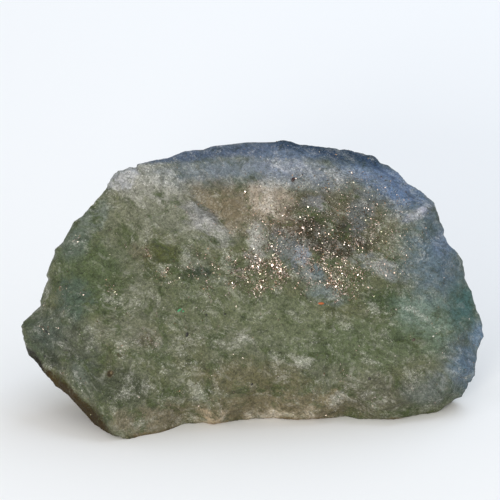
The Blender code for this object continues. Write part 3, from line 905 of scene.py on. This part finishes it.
# Small round swarms (middle, radius and weight), whose plates are wider and paler.
KNOT_GROWTH = 0.25
KNOT_SHINE = 0.1
MICA_KNOTS = [
    ((3.4, 4.0), 1.3, 1.7), ((4.5, 3.1), 0.9, 1.7), ((1.6, 0.5), 0.9, 1.7), ((0.9, 5.6), 1.2, 1.1),
    ((-0.2, 4.0), 0.9, 1.1), ((-1.7, 2.3), 0.8, 1.3), ((-3.6, 1.2), 0.7, 1.1), ((18.2, 2.9), 1.1, 1.4),
    ((15.6, 3.1), 1.0, 1.3), ((14.6, 1.0), 1.0, 1.4), ((15.1, -0.4), 0.9, 1.3), ((13.4, 18.2), 1.0, 2.4),
    ((20.0, 14.4), 1.1, 2.2), ((15.6, 13.6), 1.0, 1.9), ((13.7, 9.4), 1.0, 1.9), ((4.2, 10.9), 1.2, 1.9),
    ((9.0, 11.2), 1.1, 1.8), ((7.6, 15.8), 0.9, 1.8), ((10.8, 16.5), 0.9, 1.6), ((-1.2, 16.7), 0.8, 1.4),
    ((8.2, 18.7), 0.8, 1.7), ((17.7, 8.2), 0.8, 0.9), ((10.4, 7.3), 0.9, 1.0), ((20.8, 12.0), 0.9, 1.4),
    ((11.1, 4.0), 0.8, 0.9), ((3.5, 6.9), 0.8, 1.1), ((16.3, 18.7), 0.7, 1.7), ((4.9, 13.0), 1.4, 0.8),
    ((2.1, 13.0), 1.2, 0.6), ((22.7, 4.9), 1.0, 0.9), ((12.0, 5.6), 0.8, 0.8), ((24.4, 10.4), 0.9, 1.2),
    ((-30.4, 8.7), 0.6, 0.7), ((-32.8, 0.0), 0.5, 0.7), ((-29.4, -0.4), 0.4, 0.6), ((-24.2, 0.2), 0.6, 0.7),
    ((-18.3, 6.5), 0.7, 0.9), ((-15.3, 3.0), 0.7, 0.9), ((-17.0, -8.7), 0.7, 0.9), ((-35.7, -6.9), 0.5, 0.7),
    ((-22.6, -10.8), 0.6, 0.7), ((-32.6, -14.3), 0.4, 0.6), ((-12.4, -17.6), 0.6, 0.7),
    ((-6.6, -14.8), 0.6, 0.7), ((-28.9, 16.5), 0.6, 0.7), ((-3.2, 10.2), 0.5, 0.7),
    ((15.6, -14.6), 0.5, 0.7),
]

# Plates of one tone that keep to the mica normal, each at its own place with its own half width.
BRIGHT_TONE = 0.85
BRIGHT_PLATES = [
    ((3.2, 4.3), 0.24), ((4.7, 3.2), 0.18), ((1.5, 0.6), 0.13), ((-3.7, 1.2), 0.11), ((3.2, 7.5), 0.12),
    ((-1.1, 16.8), 0.14), ((18.3, 2.9), 0.14), ((14.2, 0.6), 0.12), ((15.4, 2.9), 0.11), ((15.7, 7.8), 0.11),
    ((13.0, 9.9), 0.11), ((20.0, 13.9), 0.11), ((0.4, 5.8), 0.12), ((4.2, 3.9), 0.14), ((8.0, 12.6), 0.11),
]

# What puts a quad of the far side behind every other when the nearest is looked for.
FAR_AWAY = 1e6


def quad_normals(corners):
    """Cross products of the quads' diagonals: they point outwards, as long as twice the area."""
    return np.cross(corners[:, 2] - corners[:, 0], corners[:, 3] - corners[:, 1])


def nearest_quad(middle, place):
    """Number of the quad on the seen side whose middle is nearest to a place on the face."""
    away = ((middle[:, :2] - np.array(place)) ** 2).sum(axis=1) + FAR_AWAY * (middle[:, 2] < 0.0)
    return away.argmin()


def mica_density(middle):
    """How thick the plates lie at each place, and the knots' share of it.

    It falls off as e to the minus fourth power of the distance for a swarm, and to the minus
    square for a knot.
    """
    seen = middle[:, 2] > 0.0
    swarms = np.full(len(middle), MICA_ELSEWHERE)
    for place, reach, weight in MICA_SWARMS.values():
        away = ((middle[:, :2] - np.array(place)) / np.array(reach)) ** 2
        swarms += weight * np.exp(-away.sum(axis=1) ** 2) * seen
    knots = np.zeros(len(middle))
    for place, radius, weight in MICA_KNOTS:
        away = ((middle[:, :2] - np.array(place)) ** 2).sum(axis=1) / radius ** 2
        knots += weight * np.exp(-away) * seen
    clear = above_ground(middle) > MICA_WIDTH * MICA_OFF_GROUND
    return (swarms + knots) * np.exp(MICA_CLUMPING * swell(middle, MICA_CLUMPS)) * clear, knots


def plate_axes(random, outward):
    """The mica normal, turned to the outside and a little to the surface normal, plus a stray."""
    bright = len(BRIGHT_PLATES)
    layer = np.array(MICA_NORMAL) * np.sign(outward @ np.array(MICA_NORMAL))[:, None]
    axis = unit(layer + MICA_TURN_OUT * outward + random.normal(size=(MICA_COUNT, 3)) * MICA_STRAY)
    axis[:bright] = unit(np.tile(MICA_NORMAL, (bright, 1)))
    facing = (axis * outward).sum(axis=1)
    return unit(axis + outward * np.clip(MICA_LEAST_OUT - facing, 0.0, None)[:, None])


def mica_flakes(points, quads):
    """Six-sided plates lying in the break, each a flat ring closed by a point sunk in the stone.

    Quads of the surface are drawn at random by area and density.
    """
    random = np.random.default_rng(MICA_SEED)
    corners = points[quads]
    middle = corners.mean(axis=1)
    normal = quad_normals(corners)
    density, knots = mica_density(middle)
    share = density * np.linalg.norm(normal, axis=1)
    hosts = random.choice(len(quads), MICA_COUNT, replace=False, p=share / share.sum())
    bright = len(BRIGHT_PLATES)
    hosts[:bright] = [nearest_quad(middle, place) for place, _ in BRIGHT_PLATES]
    mixing = random.dirichlet(np.ones(4), MICA_COUNT)
    seat = (corners[hosts] * mixing[..., None]).sum(axis=1)
    outward = unit(normal[hosts])
    axis = plate_axes(random, outward)
    side = unit(np.cross(axis, random.normal(size=(MICA_COUNT, 3))))
    other = np.cross(axis, side)
    knotted = knots[hosts].clip(0.0, 1.0)
    widths = random.lognormal(0.0, MICA_WIDTH_SPREAD, MICA_COUNT).clip(0.0, MICA_WIDEST)
    half = 0.5 * MICA_WIDTH * widths * (1.0 + KNOT_GROWTH * knotted)
    half[:bright] = [size for _, size in BRIGHT_PLATES]
    stray = random.uniform(-CORNER_STRAY, CORNER_STRAY, (MICA_COUNT, RING))
    turn = np.arange(RING) * 2.0 * np.pi / RING + stray
    reach = half[:, None] * random.uniform(*CORNER_REACH, (MICA_COUNT, RING))
    ring = seat[:, None] + (outward * half[:, None] * PLATE_PROUD)[:, None]
    ring = ring + side[:, None] * (np.cos(turn) * reach * PLATE_LONG)[..., None]
    ring = ring + other[:, None] * (np.sin(turn) * reach * PLATE_WIDE)[..., None]
    sunk = seat - outward * half[:, None] * PLATE_SUNK
    flakes = np.concatenate((ring, sunk[:, None]), axis=1)
    pattern = [(0, step, step + 1) for step in range(1, RING - 1)]
    pattern += [((step + 1) % RING, step, RING) for step in range(RING)]
    first = np.arange(MICA_COUNT)[:, None, None] * (RING + 1)
    faces = (first + np.array(pattern)[None]).reshape(-1, 3)
    tone = random.uniform(size=MICA_COUNT)
    tone += KNOT_SHINE * knotted * (1.0 - tone)
    tone[:bright] = BRIGHT_TONE
    return flakes.reshape(-1, 3), faces, np.repeat(tone, RING + 1)


# Colours of the plates, from dark to bright and at last olive, by place on the scale of tones.
MICA_TONES = {
    0.0: srgb(70, 57, 40),
    0.42: srgb(100, 82, 68),
    0.62: srgb(156, 136, 126),
    0.85: srgb(202, 188, 180),
    1.0: srgb(156, 158, 130),
}
MICA_FINISH = {"Metallic": 1.0, "Roughness": 0.36}


def mica_material():
    r = Recipe("mica")
    tone = r.add("Attribute", attribute_name="tone").outputs["Fac"]
    scale = r.add("ValToRGB", {"Fac": tone})
    stops = scale.color_ramp.elements
    while len(stops) < len(MICA_TONES):
        stops.new(0.5)
    for stop, (place, shade) in zip(stops, MICA_TONES.items()):
        stop.position = place
        stop.color = shade
    return r.finish({"Base Color": scale.outputs["Color"], **MICA_FINISH})


def make_mica(points, quads):
    flakes, faces, tone = mica_flakes(points, quads)
    piece = mesh_object("mica_flakes", to_ground(flakes), faces, mica_material(), "tone", tone)
    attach(piece, "root")


# Single grains that stand out: place on the face, half length and half width, turn and colour.
SPECKS = {
    "red brown grain": ((7.0, 19.3), (0.48, 0.31), 60, (46, 24, 16)),
    "orange fleck": ((11.8, -2.3), (0.56, 0.21), 0, (178, 92, 40)),
    "green fleck": ((-12.6, -3.3), (0.48, 0.17), 35, (66, 150, 100)),
    "green crumb": ((-12.1, -3.6), (0.20, 0.15), 0, (66, 150, 100)),
    "black grain": ((-11.3, -7.5), (0.45, 0.28), 80, (26, 24, 18)),
    "left tip grain": ((-35.6, -7.3), (0.34, 0.22), -30, (30, 32, 28)),
    "left grain": ((-32.3, -8.7), (0.28, 0.22), 0, (32, 32, 26)),
    "left low grain": ((-36.1, -11.3), (0.25, 0.20), 0, (30, 30, 24)),
    "middle grain": ((-8.0, -4.2), (0.22, 0.20), 0, (34, 36, 22)),
    "middle twin grain": ((-4.9, -4.2), (0.20, 0.20), 0, (34, 36, 22)),
    "low grain": ((-0.2, -16.3), (0.28, 0.20), 10, (34, 30, 20)),
    "brown grain": ((27.8, -8.7), (0.36, 0.28), 30, (66, 54, 38)),
    "white grain": ((30.9, -8.0), (0.18, 0.13), 20, (228, 226, 216)),
    "ring grain": ((20.1, -15.3), (0.28, 0.25), 0, (54, 50, 40)),
}
SPECK_THICKNESS = 0.10
SPECK_RINGS = 5
SPECK_SIDES = 10
SPECK_BUMP = (0.5, 0.00005)
SPECK_FINISH = {"Roughness": 0.42}


def ball_shape():
    """Points of a ball of radius one, ring by ring and then its two poles, and its triangles.

    A point is the cosine of its height times the cosine and the sine of its bearing, and the sine
    of its height.
    """
    height = np.pi * (np.arange(1, SPECK_RINGS + 1) / (SPECK_RINGS + 1) - 0.5)[:, None]
    bearing = 2.0 * np.pi * np.arange(SPECK_SIDES)[None] / SPECK_SIDES
    parts = (np.cos(height) * np.cos(bearing), np.cos(height) * np.sin(bearing), np.sin(height))
    rings = np.stack(np.broadcast_arrays(*parts), axis=-1).reshape(-1, 3)
    ball = np.concatenate((rings, [(0.0, 0.0, -1.0), (0.0, 0.0, 1.0)]))
    below, above = len(ball) - 2, len(ball) - 1
    step = np.arange(SPECK_SIDES)
    after = (step + 1) % SPECK_SIDES
    rows = np.arange(SPECK_RINGS - 1)[:, None] * SPECK_SIDES
    lower, upper = rows + step, rows + after
    last = (SPECK_RINGS - 1) * SPECK_SIDES
    pattern = np.concatenate((
        np.stack((lower, upper, upper + SPECK_SIDES), axis=-1).reshape(-1, 3),
        np.stack((lower, upper + SPECK_SIDES, lower + SPECK_SIDES), axis=-1).reshape(-1, 3),
        np.stack((np.full(SPECK_SIDES, below), after, step), axis=-1),
        np.stack((np.full(SPECK_SIDES, above), last + step, last + after), axis=-1),
    ))
    return ball, pattern


def speck_blobs(points, quads):
    """Squashed balls, each lying along the surface where its place on the face meets it.

    A ball's axes are the speck's own direction, the one across it and the way out of the surface,
    as long as its half length, half width and thickness.
    """
    corners = points[quads]
    middle = corners.mean(axis=1)
    ball, pattern = ball_shape()
    blobs, shades = [], []
    for place, (long, wide), turn, colour in SPECKS.values():
        host = corners[nearest_quad(middle, place)]
        out = unit(quad_normals(host[None]))[0]
        angle = math.radians(turn)
        along = np.array((math.cos(angle), math.sin(angle), 0.0))
        along = unit((along - out * (along @ out))[None])[0]
        axes = np.stack((along * long, np.cross(out, along) * wide, out * SPECK_THICKNESS))
        blobs.append(host.mean(axis=0) + ball @ axes)
        shades.append(np.tile(srgb(*colour), (len(ball), 1)))
    first = np.arange(len(SPECKS))[:, None, None] * len(ball)
    return np.concatenate(blobs), (first + pattern[None]).reshape(-1, 3), np.concatenate(shades)


def speck_material():
    r = Recipe("speck_minerals")
    shade = r.add("Attribute", attribute_name="shade").outputs["Color"]
    place = r.vector("SCALE", r.add("TexCoord").outputs["Object"], scale=1.0 / MM)
    mottle = r.noise(place, "speck mottle")
    colour = r.mix(r.span(mottle, *SPANS["speck mottle"]), shade, DEEP_SHADE, "MULTIPLY")
    return r.finish({"Base Color": colour, "Normal": r.bump(mottle, *SPECK_BUMP), **SPECK_FINISH})


def make_specks(points, quads):
    blobs, faces, shades = speck_blobs(points, quads)
    piece = mesh_object("mineral_specks", to_ground(blobs), faces, speck_material(), "shade", shades)
    piece.data.shade_smooth()
    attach(piece, "root")


# The painted sky sheens and shade lie where the surface faces the seen side: the w of the normal
# where they begin and where they are full, and how many times the share is evened out with the
# neighbours.
SHEENS_BEGIN = -0.60
SHEENS_FULL = -0.22
EVENINGS = 4


def facing_share(points, quads):
    """How far each point faces the seen side, from 0 to 1.

    A point's normal is the sum of the normals of the quads around it. Each evening gives a point
    the mean of its quads' means.
    """
    normal = quad_normals(points[quads])
    around = quads.ravel()
    sums = [np.bincount(around, np.repeat(part, 4), len(points)) for part in normal.T]
    share = ramp(unit(np.stack(sums, axis=-1))[:, 2], SHEENS_BEGIN, SHEENS_FULL)
    quads_around = np.bincount(around, minlength=len(points))
    for _ in range(EVENINGS):
        share = np.bincount(around, np.repeat(share[quads].mean(axis=1), 4), len(points)) / quads_around
    return share


def make_stone():
    box_points, quads = box_grid()
    points = stone_points(box_points)
    make_mica(points, quads)
    make_specks(points, quads)
    facing = facing_share(points, quads)
    piece = mesh_object("stone_surface", set_down(points), quads, stone_material(), "facing", facing)
    piece.data.shade_smooth()
    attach(piece, "root")
    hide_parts("stone")


# Floor, lights and camera

# The camera looks at the face square on. The size of the photo and the place of the stone's heart
# in it are in pixels.
CAMERA_DISTANCE = 1.2
CAMERA_SENSOR = 36.0
CAMERA_CLIPS = (0.05, 20.0)
PHOTO_SIZE = 500
STONE_MM_PER_PIXEL = 0.1735
HEART_PIXEL = (253, 290)

FLOOR_HALF = 2.0
FLOOR_FINISH = {"Base Color": (0.89, 0.878, 0.86, 1.0), "Roughness": 0.8}

# Area lights aimed at the heart: place, power, size and colour.
LIGHTS = {
    "key": ((-0.28, -1.04, 0.27), 7.5, 0.30, (1.0, 0.96, 0.90)),
    "sky": ((0.25, 0.35, 0.6), 2.2, 0.5, (0.66, 0.80, 1.0)),
}
WORLD = {"Color": (0.97, 0.985, 1.0, 1.0), "Strength": 0.72}


def make_floor():
    mesh = bpy.data.meshes.new("floor")
    corners = [(-FLOOR_HALF, -FLOOR_HALF, 0.0), (FLOOR_HALF, -FLOOR_HALF, 0.0),
               (FLOOR_HALF, FLOOR_HALF, 0.0), (-FLOOR_HALF, FLOOR_HALF, 0.0)]
    mesh.from_pydata(corners, [], [(0, 1, 2, 3)])
    floor = bpy.data.objects.new("floor", mesh)
    bpy.context.scene.collection.objects.link(floor)
    mesh.materials.append(Recipe("pale_floor").finish(FLOOR_FINISH))


def make_light(name, place, power, size, colour):
    lamp = bpy.data.lights.new(name, "AREA")
    lamp.energy = power
    lamp.size = size
    lamp.color = colour
    light = bpy.data.objects.new(name, lamp)
    light.location = place
    aim = Vector((0.0, 0.0, LIFT * MM)) - Vector(place)
    light.rotation_euler = aim.to_track_quat("-Z", "Y").to_euler()
    bpy.context.scene.collection.objects.link(light)


def make_world():
    world = bpy.data.worlds.new("studio")
    bpy.context.scene.world = world
    world.use_nodes = True
    for name, value in WORLD.items():
        world.node_tree.nodes["Background"].inputs[name].default_value = value


def make_camera():
    camera = bpy.data.cameras.new("camera")
    away = Vector((0.0, -math.cos(LEAN), math.sin(LEAN)))
    up = Vector((0.0, math.sin(LEAN), math.cos(LEAN)))
    pixel = STONE_MM_PER_PIXEL * MM
    centre = Vector((0.0, 0.0, LIFT * MM))
    centre += Vector((1.0, 0.0, 0.0)) * (PHOTO_SIZE / 2 - HEART_PIXEL[0]) * pixel
    centre += up * (HEART_PIXEL[1] - PHOTO_SIZE / 2) * pixel
    view = bpy.data.objects.new("camera", camera)
    view.location = centre + away * CAMERA_DISTANCE
    view.rotation_euler = (-away).to_track_quat("-Z", "Y").to_euler()
    camera.sensor_width = CAMERA_SENSOR
    camera.lens = CAMERA_SENSOR * CAMERA_DISTANCE / (PHOTO_SIZE * pixel)
    camera.clip_start, camera.clip_end = CAMERA_CLIPS
    bpy.context.scene.collection.objects.link(view)
    bpy.context.scene.camera = view


bpy.context.scene.view_settings.view_transform = "Standard"
make_stone()
make_floor()
make_world()
for name, light in LIGHTS.items():
    make_light(name, *light)
make_camera()
